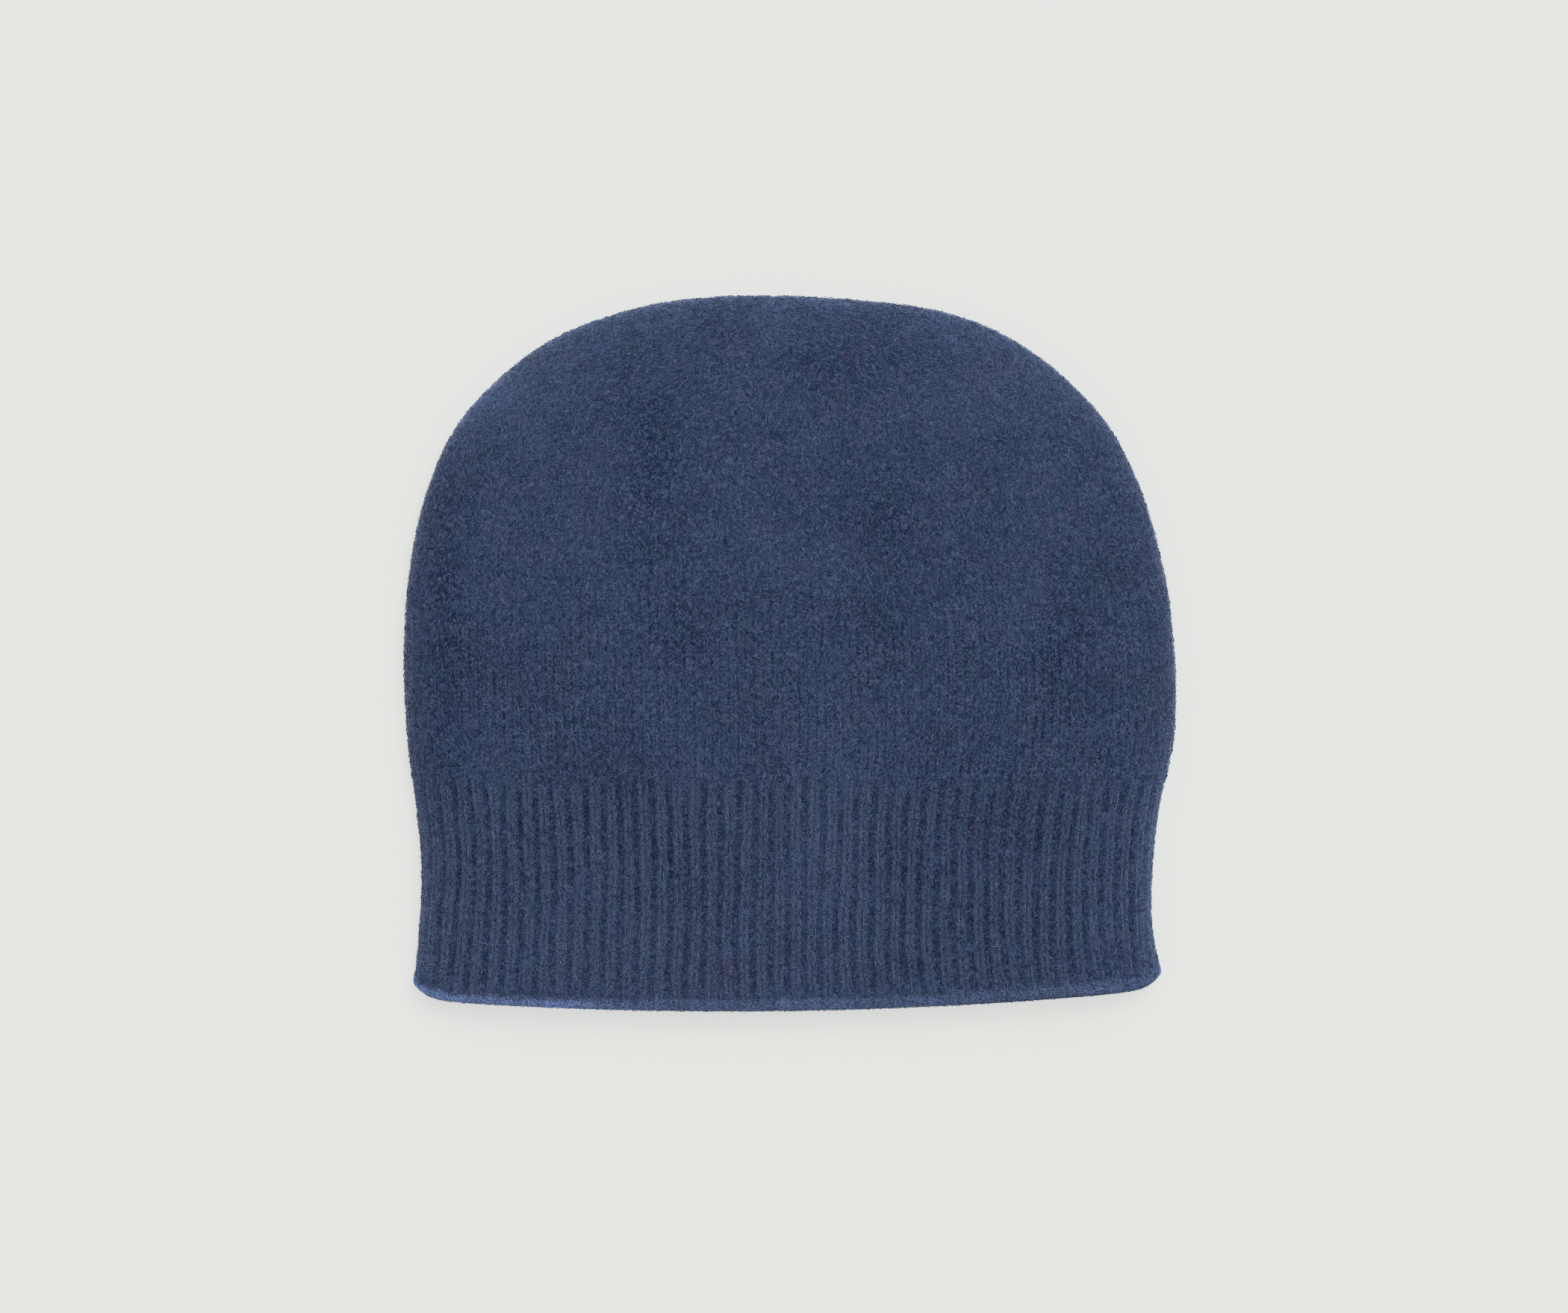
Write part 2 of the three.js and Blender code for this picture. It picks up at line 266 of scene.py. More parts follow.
class Skin:
    """The outer skin of the knit as it lies flat, kept as an even grid. around runs from 0 to 1 from the
    middle of the upper layer over the +X fold and back under, by length, and row from 0, the hem, to 1."""

    def __init__(self, shape):
        self.shape = shape
        self.fold = max(shape.crown_wall, shape.band_wall) + shape.fold_space
        table = np.array(COURSES)
        left = table[:, 0:2] * (shape.width, shape.length)
        right = table[:-1, 2:4][::-1] * (shape.width, shape.length)
        self.outline = np.vstack([left, right])
        self.hang = table[:, 4:6] * (shape.length, 1)
        self.rows = np.linspace(0, 1, 4001)
        left, right, sag, _ = self.course(self.rows)
        self.heights = (left[:, 1] + right[:, 1]) / 2 - sag
        edge = smooth_curve(self.outline, np.linspace(0, 1, 500))
        before = edge[0] + (edge[0] - edge[1]) * 20
        after = edge[-1] + (edge[-1] - edge[-2]) * 20
        self.edge = np.vstack([before, edge, after])
        rows = np.linspace(0, 1, SKIN_ROWS)
        fine = np.linspace(0, 2 * math.pi, 2 * SKIN_COLUMNS + 1)
        picked = np.linspace(0, SKIN_ROWS - 1, 27).astype(int)
        turns = np.array([self.even_turns(rows[n], fine) for n in picked])
        spread = [np.interp(np.arange(SKIN_ROWS), picked, turns[:, n]) for n in range(SKIN_COLUMNS + 1)]
        turn = np.array(spread).T
        points = self.lay_flat(turn.ravel(), np.repeat(rows, SKIN_COLUMNS + 1))
        self.points = points.reshape(SKIN_ROWS, SKIN_COLUMNS + 1, 3)
        self.points[:, -1] = self.points[:, 0]
        self.insets = self.inset(points[:, 0], points[:, 1]).reshape(SKIN_ROWS, SKIN_COLUMNS + 1)
        hem = self.points[0]
        middle = (self.edge[1:-1].min(axis=0) + self.edge[1:-1].max(axis=0)) / 2
        middle[1] = (hem[:, 1].min() + self.edge[1:-1, 1].max()) / 2
        self.points -= (*middle, 0)
        round_step = np.roll(self.points[:, :-1], -1, axis=1) - np.roll(self.points[:, :-1], 1, axis=1)
        round_step = np.concatenate([round_step, round_step[:, :1]], axis=1)
        up_step = np.gradient(self.points, axis=0)
        normals = np.cross(round_step, up_step)
        # near the top a course is tiny, and the way out of it is away from its middle
        near_top = slice(int(SKIN_ROWS * 0.95), None)
        away = self.points[near_top] - self.points[near_top].mean(axis=1, keepdims=True)
        turned = (normals[near_top] * away).sum(axis=2) < 0
        normals[near_top][turned] *= -1
        normals[-1] = (0, 1, 0)
        self.normals = normals / np.linalg.norm(normals, axis=2)[..., None]
        self.round_length = np.linalg.norm(round_step, axis=2) / 2 * SKIN_COLUMNS
        self.row_length = np.linalg.norm(up_step, axis=2) * (SKIN_ROWS - 1)

    def course(self, row):
        """Where the courses at row turn over at the left and the right, how far they sag and their lift."""
        left = smooth_curve(self.outline, row / 2)
        right = smooth_curve(self.outline, 1 - row / 2)
        sag, lift = smooth_curve(self.hang, row).T
        return left, right, sag, lift

    def row_at(self, up):
        """The row of the course whose middle lies that far up from the hem."""
        return float(np.interp(up, self.heights, self.rows))

    def height_at(self, row):
        """How far up from the hem the middle of a course lies."""
        return np.interp(row, self.rows, self.heights)

    def inset(self, x, y):
        """How far in from the outline each point of the plan lies."""
        start = self.edge[:-1]
        step = self.edge[1:] - start
        square = (step**2).sum(axis=1)
        nearest = np.empty(len(x))
        for n in range(0, len(x), 4000):
            dx = x[n : n + 4000, None] - start[:, 0]
            dy = y[n : n + 4000, None] - start[:, 1]
            t = np.clip((dx * step[:, 0] + dy * step[:, 1]) / square, 0, 1)
            away = (dx - t * step[:, 0]) ** 2 + (dy - t * step[:, 1]) ** 2
            nearest[n : n + 4000] = np.sqrt(away.min(axis=1))
        return nearest

    def lay_flat(self, turn, row):
        """Points of the courses at row, at turns round them: 0 is the middle of the upper layer."""
        shape = self.shape
        left, right, sag, lift = self.course(row)
        facing = np.cos(turn)
        across = (1 + np.sin(turn)) / 2
        corner = np.tanh(CORNER_TIGHTNESS * facing**2)
        hangs = facing**2 * (1 - CORNER_SHARE) + corner * CORNER_SHARE
        x = left[:, 0] + (right[:, 0] - left[:, 0]) * across
        y = left[:, 1] + (right[:, 1] - left[:, 1]) * across - sag * hangs
        inset = self.inset(x, y)
        inset[np.abs(facing) < 1e-6] = 0
        rise = shape.mouth_lift + (shape.crown_lift - shape.mouth_lift) * lift - self.fold
        swell = np.minimum(inset * self.fold / rise**2, 1)
        dent = np.zeros(len(x))
        for at, up, wide, tall, deep in HOLLOWS:
            reach = ((x / shape.width - at) / wide) ** 2 + ((y / shape.length - up) / tall) ** 2
            dent += deep * shape.crown_lift * np.exp(-reach)
        ease = np.minimum(inset / (2 * self.fold), 1)
        top = self.fold + rise * np.sqrt(swell * (2 - swell)) - dent * ease
        turned = np.minimum(inset / self.fold, 1)
        under = self.fold * (1 - np.sqrt(turned * (2 - turned)))
        return np.column_stack([x, y, np.where(facing > 0, top, under)])

    def even_turns(self, row, fine):
        """Turns that split a course into steps of one length."""
        course = self.lay_flat(fine, np.full(len(fine), min(row, 0.995)))
        gone = np.concatenate([[0], np.cumsum(np.linalg.norm(np.diff(course, axis=0), axis=1))])
        return np.interp(np.linspace(0, gone[-1], SKIN_COLUMNS + 1), gone, fine)

    def read(self, grid, around, row):
        """Values of a grid between its points."""
        across = np.mod(around, 1) * SKIN_COLUMNS
        up = np.clip(row, 0, 1) * (SKIN_ROWS - 1)
        column = np.minimum(across.astype(int), SKIN_COLUMNS - 1)
        line = np.minimum(up.astype(int), SKIN_ROWS - 2)
        a, b = across - column, up - line
        if grid.ndim == 3:
            a, b = a[:, None], b[:, None]
        low = grid[line, column] * (1 - a) + grid[line, column + 1] * a
        high = grid[line + 1, column] * (1 - a) + grid[line + 1, column + 1] * a
        return low * (1 - b) + high * b


def drift(around, cells, up, seed):
    """Smooth random values from -1 to 1 that meet all round: cells of them to a course, and a new one for
    each whole step of up."""
    lattice = np.random.default_rng(seed).uniform(-1, 1, (64, cells))
    gx = np.mod(around, 1) * cells
    ix, iy = np.floor(gx).astype(int), np.floor(up).astype(int)
    fx, fy = gx - ix, up - iy
    fx, fy = fx * fx * (3 - 2 * fx), fy * fy * (3 - 2 * fy)
    ix, right, low, high = ix % cells, (ix + 1) % cells, iy % 64, (iy + 1) % 64
    below = lattice[low, ix] * (1 - fx) + lattice[low, right] * fx
    over = lattice[high, ix] * (1 - fx) + lattice[high, right] * fx
    return below * (1 - fy) + over * fy


def rib_phase(shape, around, above):
    """Where a place lies across its rib, 0.5 at the middle of the two legs and 0 in the groove."""
    wander = drift(around, 70, above / (9 * MM), 11) * 0.07 + drift(around, 34, above / (26 * MM), 12) * 0.12
    return np.mod(around * shape.ribs + wander, 1)


def rib_legs(shape, around, above):
    """How far the knit stands up across a rib: two legs at 1, and a low purl in the groove beside them."""
    phase = rib_phase(shape, around, above)
    high = np.zeros(len(phase))
    for middle, tall in ((1 / 3, 1.0), (2 / 3, 1.0), (0.0, 0.12), (1.0, 0.12)):
        high = np.maximum(high, tall * np.sqrt(np.clip(1 - ((phase - middle) / 0.15) ** 2, 0, 1)))
    return high


def rib_strength(shape, around, above):
    """How plainly the ribs show: they set in below the plain knit and fade into the hem's felt."""
    start = shape.band_depth + drift(around, 92, around * 0 + 0.5, 13) * 2.2 * MM
    fade_in = ramp(above, start, -5 * MM)
    fade_out = 0.2 + 0.8 * ramp(above, 2.5 * MM, 5 * MM)
    uneven = 1 + 0.22 * drift(around, 92, above / (9 * MM), 14)
    uneven += 0.2 * drift(around, 23, above / (17 * MM), 15)
    # the ribs lie a little flatter towards the right, and are pulled flat over the side folds
    uneven *= 1 - 0.2 * bump(np.mod(around, 1), 0.17, 0.08)
    from_middle = np.abs(np.mod(around + 0.5, 1) - 0.5)
    uneven *= 1 - 0.7 * bump(from_middle, 0.247, 0.014)
    return fade_in * fade_out * uneven


def rib_depth(shape, around, above):
    """How deep the skin of the band sinks beside the legs of its ribs, above the hem by so many metres."""
    half = shape.band_wall / 2
    rolled = half - np.sqrt(half**2 - np.clip(half - above, 0, half) ** 2)
    sunk = shape.rib_relief * (1 - rib_legs(shape, around, above)) * rib_strength(shape, around, above)
    return np.where(above < half, rolled + sunk * 0.6, sunk)


def wale_light(shape, around, above):
    """Light and dark painted on the plain knit's wales, their legs and courses: highlight on the legs, shade
    between, -1 to 1.
    """
    wander = drift(around, 150, above / (6 * MM), 23) * 0.1 + drift(around, 40, above / (20 * MM), 24) * 0.15
    wale = around * shape.ribs * 2 + wander
    lean = np.abs(np.mod(wale, 1) - 0.5)
    courses = np.cos(2 * math.pi * (above / shape.course_pitch + lean * 1.1))
    legs = -np.cos(4 * math.pi * wale) * 0.55 - np.cos(2 * math.pi * wale) * 0.5
    patchy = 0.75 + 0.6 * drift(around, 60, above / (12 * MM), 25)
    fade = 0.25 + 0.75 * ramp(above, 145 * MM, -50 * MM)
    return (legs + courses * 0.45) * fade * patchy


def rib_light(shape, around, above):
    """Light and dark painted on the ribs, from painted shade in the groove at -1 to a painted highlight on the
    legs at 1.
    """
    strength = rib_strength(shape, around, above)
    blots = drift(around, 276, above / (1.4 * MM), 16) * 0.35
    swell = 0.5 - 0.5 * np.cos(2 * math.pi * rib_phase(shape, around, above))
    return (rib_legs(shape, around, above) * 0.95 + swell * 1.3 - 1.0 + blots) * strength


def felt_and_painted_light(skin, around, row, above):
    """How pale the knit is: felt and painted highlight on the hem, deeper at both corners, painted sheen and
    light on the folds.
    """
    place = skin.read(skin.points, around, row)
    inset = skin.read(skin.insets, around, row)
    x, y = place[:, 0], place[:, 1]
    # the rolled hem: felt, with a painted highlight along its edge
    left, right = ramp(-x, 42 * MM, 20 * MM), ramp(x, 25 * MM, 35 * MM)
    tall = (3.6 - 0.5 * left + 0.5 * right) * MM + drift(around, 120, above * 0 + 0.5, 17) * 0.7 * MM
    hem = np.clip((tall - above) / (1.4 * MM) + 0.5, 0, 1)
    # painted highlight on its lower lip at the left, and painted shade on it at the right
    hem += ramp(above, (1.7 + 0.8 * left) * MM, -0.9 * MM) * (0.6 * left - 0.08 * right)
    shaded = 0.8 * right * ramp(above, 0.8 * MM, -0.4 * MM)
    # broad painted light towards the top, the right and the lower left
    upper = np.clip(y / skin.shape.length * 2, 0, 1)
    lower = ramp(-y, 35 * MM, 20 * MM)
    to_right, to_left = ramp(x, 0, 60 * MM), ramp(-x, 0, 60 * MM)
    broad = np.maximum(upper, 0.5 * to_right * (1 - 0.6 * lower) + 0.4 * lower * to_left)
    # painted sheen makes the outermost rib of the band pale all across, and less so at its very rim
    rib = lower * ramp(above, 5 * MM, 5 * MM) * ramp(np.abs(x), 80 * MM, 15 * MM)
    rib_end = (3 + 0.6 * to_left) * MM
    # painted sheen on the rims of the folds, and the broad painted light, more at the sides and the upper left
    fold = 1.2 * (1 - rib * (0.5 + 0.4 * to_left)) * np.exp(-inset / (1.2 * MM))
    fold += rib * (1 - np.exp(-inset / MM)) * np.exp(-((inset / rib_end) ** 4))
    fold += 0.75 * broad * np.exp(-inset / (8 * MM))
    fold += 0.3 * ramp(np.abs(x), 60 * MM, 35 * MM) * np.exp(-inset / (3 * MM))
    fold += 0.15 * upper * np.clip(0.3 - x / (80 * MM), 0, 1) * np.exp(-inset / (26 * MM))
    return np.clip(hem + skin.shape.painted_fold_sheen * fold - shaded, 0, 2)


def pile_patches(skin, around, row):
    """Broad light and dark patches of the pile, painted shade along its left edge among them."""
    place = skin.read(skin.points, around, row)
    across, up = place[:, 0] / skin.shape.width, place[:, 1] / skin.shape.length + 0.5
    light = np.zeros(len(place))
    for at, high, wide, tall, strength in PILE_PATCHES:
        light += strength * np.exp(-(((across - at) / wide) ** 2) - ((up - high) / tall) ** 2)
    return light


def crown_dip(shape, around, above):
    """How deep the plain knit sinks between its wales, fading out towards the top."""
    fade = ramp(above, 120 * MM, -45 * MM) * ramp(above, shape.band_depth, 2 * MM)
    lumps = drift(around, 130, above / (3.5 * MM), 21) * 0.06 + drift(around, 50, above / (9 * MM), 22) * 0.1
    wales = 0.5 + 0.5 * np.cos(2 * math.pi * around * shape.ribs * 2)
    return (0.1 * wales * fade + lumps) * MM


def sheet_mesh(name, columns, rows):
    """A flat sheet of columns by rows faces, to be laid on the hat's skin."""
    form = bmesh.new()
    bmesh.ops.create_grid(form, x_segments=columns, y_segments=rows, size=0.5, calc_uvs=False)
    mesh = bpy.data.meshes.new(name)
    form.to_mesh(mesh)
    form.free()
    if len(mesh.vertices) != (columns + 1) * (rows + 1):
        raise RuntimeError(f"{name}: the sheet has {len(mesh.vertices)} points")
    return mesh


def close_shell(mesh, points, knit, felt, columns, poles):
    """Lays the sheet's points, stores where each lies in the knit and how pale it is from felt and painted
    sheen, highlight and shade, and joins the sheet's meeting sides. Its first and last rings shrink to poles, or
    else meet each other."""
    mesh.vertices.foreach_set("co", points.ravel())
    layer = mesh.uv_layers.new(name="Knit")
    corner = np.empty(len(mesh.loops), dtype=np.int32)
    mesh.loops.foreach_get("vertex_index", corner)
    layer.uv.foreach_set("vector", knit[corner].ravel())
    mesh.attributes.new("felt", "FLOAT", "POINT").data.foreach_set("value", felt.astype(np.float32))
    form = bmesh.new()
    form.from_mesh(mesh)
    form.verts.ensure_lookup_table()
    wide = columns + 1
    last = len(form.verts) - wide
    targets = {}
    for start in range(0, len(form.verts), wide):
        targets[start + columns] = start
    for n in range(columns + 1):
        if poles:
            targets[n] = 0
            targets[last + n] = last
        else:
            targets[last + n] = n % columns
    targets = {n: to for n, to in targets.items() if n != to}
    bmesh.ops.weld_verts(form, targetmap={form.verts[n]: form.verts[to] for n, to in targets.items()})
    if form.calc_volume(signed=True) < 0:
        bmesh.ops.reverse_faces(form, faces=form.faces)
    open_edges = [edge for edge in form.edges if not edge.is_manifold]
    if open_edges:
        raise RuntimeError(f"{mesh.name}: {len(open_edges)} edges aren't closed")
    for face in form.faces:
        face.smooth = True
    for edge in form.edges:
        edge.smooth = edge.calc_face_angle(0) < CREASE
    form.to_mesh(mesh)
    form.free()


def show(name, mesh, material, slot, *nodes):
    """Puts a finished mesh in the scene as a piece of the hat."""
    mesh.materials.append(material)
    piece = bpy.data.objects.new(name, mesh)
    bpy.context.scene.collection.objects.link(piece)
    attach(piece, "root")
    if nodes:
        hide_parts(*nodes)


_skins = {}


def hat_skin():
    """The skin for the sizes as they stand, worked out once."""
    shape = settings()[0]
    key = tuple(round(getattr(shape, name), 7) for name in KnitHatShape.__annotations__)
    if key not in _skins:
        _skins[key] = Skin(shape)
    return _skins[key]


def wall(skin, columns, path, dip):
    """Points and knit places of a shell. path lists (row, deep, reach, shows) for each ring of points: how
    far in from the skin it lies, how far it reaches past the row towards the mouth, or None where the
    ring shrinks to a point, and how much of the knit's relief it has, which dip gives."""
    shape = skin.shape
    around = np.linspace(0, 1, columns + 1)
    points, knit, felt = [], [], []
    for row, deep, reach, shows in path:
        here = np.full(columns + 1, row)
        at = skin.read(skin.points, around, here)
        out = skin.read(skin.normals, around, here)
        out /= np.linalg.norm(out, axis=1)[:, None]
        above = np.full(columns + 1, skin.height_at(row))
        sink = dip(shape, around, above) * shows if shows else 0
        ring = at - out * (deep + sink)[:, None] if shows else at - out * deep
        if reach:
            run = np.roll(at[:-1], -1, axis=0) - np.roll(at[:-1], 1, axis=0)
            run = np.concatenate([run, run[:1]])
            past = np.cross(run / np.linalg.norm(run, axis=1)[:, None], out)
            ring = ring + past * reach
        ring[:, 2] = np.maximum(ring[:, 2], 0)
        ring[-1] = ring[0]
        if row >= 1 or reach is None:
            ring[:] = ring.mean(axis=0)
        points.append(ring)
        # how pale each ring is, from felt and from painted sheen, highlight and shade
        felt.append(felt_and_painted_light(skin, around, here, above - (reach or 0)) if shows else above * 0)
        courses = (above - (reach or 0)) / shape.course_pitch
        knit.append(np.column_stack([around * shape.ribs * 2, courses]))
    return np.vstack(points), np.vstack(knit), np.concatenate(felt)


class Nodes:
    """Short calls for placing and joining shader nodes."""

    def __init__(self, tree):
        self.tree = tree
        self.count = 0

    def add(self, kind, label="", **inputs):
        node = self.tree.nodes.new(kind)
        node.label = label
        node.location = (200 * (self.count // 6), -260 * (self.count % 6))
        self.count += 1
        for name, value in inputs.items():
            self.put(node.inputs[name.replace("_", " ")], value)
        return node

    def put(self, place, value):
        if isinstance(value, bpy.types.NodeSocket):
            self.tree.links.new(value, place)
        else:
            place.default_value = value

    def math(self, work, a, b=0.0, c=None):
        node = self.add("ShaderNodeMath")
        node.operation = work
        self.put(node.inputs[0], a)
        self.put(node.inputs[1], b)
        if c is not None:
            self.put(node.inputs[2], c)
        return node.outputs[0]

    def vector(self, work, a, b):
        node = self.add("ShaderNodeVectorMath")
        node.operation = work
        self.put(node.inputs[0], a)
        self.put(node.inputs[3 if work == "SCALE" else 1], b)
        return node.outputs[0]

    def noise(self, where, scale, detail=2.0, rough=0.5, give="Fac"):
        node = self.add("ShaderNodeTexNoise", Vector=where, Scale=scale, Detail=detail, Roughness=rough)
        return node.outputs[give]

    def span(self, value, low, high, to_low=0.0, to_high=1.0, smooth=True):
        node = self.add("ShaderNodeMapRange")
        node.interpolation_type = "SMOOTHSTEP" if smooth else "LINEAR"
        ends = {"Value": value, "From Min": low, "From Max": high, "To Min": to_low, "To Max": to_high}
        for name, end in ends.items():
            self.put(node.inputs[name], end)
        return node.outputs[0]

    def mix(self, share, a, b):
        node = self.add("ShaderNodeMix")
        node.data_type = "RGBA"
        self.put(node.inputs[0], share)
        self.put(node.inputs[6], a)
        self.put(node.inputs[7], b)
        return node.outputs[2]

    def turned(self, where, angle):
        return self.add("ShaderNodeMapping", Vector=where, Rotation=(0, 0, angle)).outputs[0]


def new_group(name, inputs, outputs):
    """An empty node group, the calls that fill it, and its input and output nodes."""
    group = bpy.data.node_groups.new(name, "ShaderNodeTree")
    for title, kind, default in inputs:
        made = group.interface.new_socket(name=title, in_out="INPUT", socket_type=kind)
        if default is not None:
            made.default_value = default
    for title, kind in outputs:
        group.interface.new_socket(name=title, in_out="OUTPUT", socket_type=kind)
    n = Nodes(group)
    return group, n, n.add("NodeGroupInput"), n.add("NodeGroupOutput")


def felted_strands_group():
    """Short strands of a matted felt surface that lie in four directions, and the pits between them, where shade
    is painted.
    """
    group, n, take, give = new_group(
        "Felted Strands",
        [
            ("Place", "NodeSocketVector", None),
            ("Strand Width", "NodeSocketFloat", 0.55),
            ("Nap", "NodeSocketFloat", 2.6),
        ],
        [("Strands", "NodeSocketFloat"), ("Pits", "NodeSocketFloat"), ("Height", "NodeSocketFloat")],
    )
    millimetres = n.vector("SCALE", take.outputs["Place"], 1000.0)
    bend = n.noise(millimetres, 0.4, 1.0, give="Color")
    bent = n.vector("ADD", millimetres, n.vector("SCALE", n.vector("SUBTRACT", bend, (0.5, 0.5, 0.5)), 2.4))
    narrow = n.math("DIVIDE", 0.5, take.outputs["Strand Width"])
    along = n.math("DIVIDE", narrow, take.outputs["Nap"])
    strands = 0.0
    for angle, size, weight in ((0.2, 1.0, 1.0), (-0.5, 1.12, 0.9), (0.95, 0.94, 0.7), (-1.3, 1.05, 0.5)):
        stretch = n.add("ShaderNodeCombineXYZ")
        n.put(stretch.inputs[0], n.math("MULTIPLY", narrow, size))
        n.put(stretch.inputs[1], n.math("MULTIPLY", along, size))
        n.put(stretch.inputs[2], n.math("MULTIPLY", narrow, size))
        where = n.vector("MULTIPLY", n.turned(bent, angle), stretch.outputs[0])
        line = n.span(n.noise(where, 1.0, 0.0), 0.5, 0.72, 0.0, weight)
        strands = n.math("MAXIMUM", line, strands)
    pits = n.noise(n.vector("MULTIPLY", bent, (1.0, 0.8, 1.0)), 2.3, 1.0)
    pits = n.span(pits, 0.5, 0.3)
    height = n.math("SUBTRACT", n.math("MULTIPLY", strands, 0.7), n.math("MULTIPLY", pits, 0.8))
    n.put(give.inputs["Strands"], strands)
    n.put(give.inputs["Pits"], pits)
    n.put(give.inputs["Height"], height)
    return group


def stitch_group():
    """Rows of knit stitches, two slanted legs to a wale, softened by felting. The place is the knit's own:
    a unit across is a wale and a unit up is a course."""
    group, n, take, give = new_group(
        "Knit Stitches",
        [
            ("Knit", "NodeSocketVector", None),
            ("Place", "NodeSocketVector", None),
            ("Wander", "NodeSocketFloat", 0.12),
        ],
        [("Height", "NodeSocketFloat")],
    )
    where = n.vector("SCALE", take.outputs["Place"], 1000.0)
    stray = n.vector("SUBTRACT", n.noise(where, 0.45, 2.0, give="Color"), (0.5, 0.5, 0.5))
    stray = n.vector("SCALE", stray, n.math("MULTIPLY", take.outputs["Wander"], 2.0))
    knit = n.add("ShaderNodeSeparateXYZ")
    n.put(knit.inputs[0], n.vector("ADD", take.outputs["Knit"], stray))
    in_wale = n.math("FRACT", knit.outputs[0])
    side = n.math("SUBTRACT", in_wale, 0.5)
    legs = n.math("ABSOLUTE", n.math("SINE", n.math("MULTIPLY", in_wale, 2 * math.pi)))
    lean = n.math("MULTIPLY_ADD", n.math("ABSOLUTE", side), 1.1, knit.outputs[1])
    courses = n.math("MULTIPLY_ADD", n.math("COSINE", n.math("MULTIPLY", lean, 2 * math.pi)), 0.5, 0.5)
    legs = n.math("POWER", legs, 0.6)
    n.put(give.inputs["Height"], n.math("MULTIPLY", legs, n.math("MULTIPLY_ADD", courses, 0.45, 0.55)))
    return group


def yarn_colour_group():
    """The yarn's heathered colour: soft patches of purple-grey and teal, dark pits and light strands; on the
    knit the dark pits are painted shade.
    """
    yarn = settings()[1]
    group, n, take, give = new_group(
        "Heathered Yarn",
        [
            ("Place", "NodeSocketVector", None),
            ("Yarn", "NodeSocketColor", (*yarn.base, 1)),
            ("Strands", "NodeSocketFloat", 0.0),
            ("Pits", "NodeSocketFloat", 0.0),
            ("Strand Strength", "NodeSocketFloat", 0.5),
            ("Pit Strength", "NodeSocketFloat", 0.5),
        ],
        [("Color", "NodeSocketColor"), ("Shade", "NodeSocketFloat")],
    )
    where = n.vector("SCALE", take.outputs["Place"], 1000.0)
    purple = n.span(n.noise(where, 0.09, 6.0, 0.78), 0.48, 0.62)
    moved = n.vector("ADD", where, (70.0, 35.0, 20.0))
    teal = n.span(n.noise(moved, 0.11, 6.0, 0.78), 0.48, 0.62)
    tone = n.mix(n.math("MULTIPLY", purple, 0.8), take.outputs["Yarn"], (*yarn.heather, 1))
    tone = n.mix(n.math("MULTIPLY", teal, 0.75), tone, (*yarn.teal, 1))
    cloud = n.noise(where, 0.05, 5.0, 0.5)
    shade = n.span(cloud, 0.3, 0.7, 0.8, 1.2, smooth=False)
    grain = n.noise(where, 1.9, 2.0, 0.85)
    shade = n.math("MULTIPLY", shade, n.span(grain, 0.3, 0.7, 1 - GRAIN, 1 + GRAIN, smooth=False))
    tone = n.vector("SCALE", tone, shade)
    # painted shade: on the knit, its pits and grooves take the shade colour; on the loose fibres, the darker
    # ones do by their own tone
    dark = n.math("MULTIPLY", take.outputs["Pits"], take.outputs["Pit Strength"])
    pitted = n.mix(dark, tone, (*yarn.shade, 1))
    lit = n.math("MULTIPLY", take.outputs["Strands"], take.outputs["Strand Strength"])
    lit = n.math("MULTIPLY", lit, n.span(grain, 0.35, 0.65, 0.5, 1.0, smooth=False))
    n.put(give.inputs["Color"], n.mix(lit, pitted, (*yarn.strand, 1)))
    n.put(give.inputs["Shade"], shade)
    return group


def shared(name, build):
    """The node group of that name, built the first time that it is asked for."""
    return bpy.data.node_groups.get(name) or build()


def place_group(n, group, label, **inputs):
    """Puts a node group in a material, with the values and links of its inputs."""
    node = n.add("ShaderNodeGroup", label)
    node.node_tree = group
    for name, value in inputs.items():
        n.put(node.inputs[name.replace("_", " ")], value)
    return node


def bare_material(name):
    """A material without nodes, and the calls that fill it."""
    material = bpy.data.materials.new(name)
    material.use_nodes = True
    material.node_tree.nodes.clear()
    return material, Nodes(material.node_tree)


def wool_surface(n, **inputs):
    """A matt surface with wool's bluish sheen, joined to the material's output."""
    sheen = {"Sheen_Weight": 0.9, "Sheen_Roughness": 0.3, "Sheen_Tint": SHEEN_TINT}
    shader = n.add("ShaderNodeBsdfPrincipled", **inputs, **sheen)
    n.add("ShaderNodeOutputMaterial", Surface=shader.outputs[0])


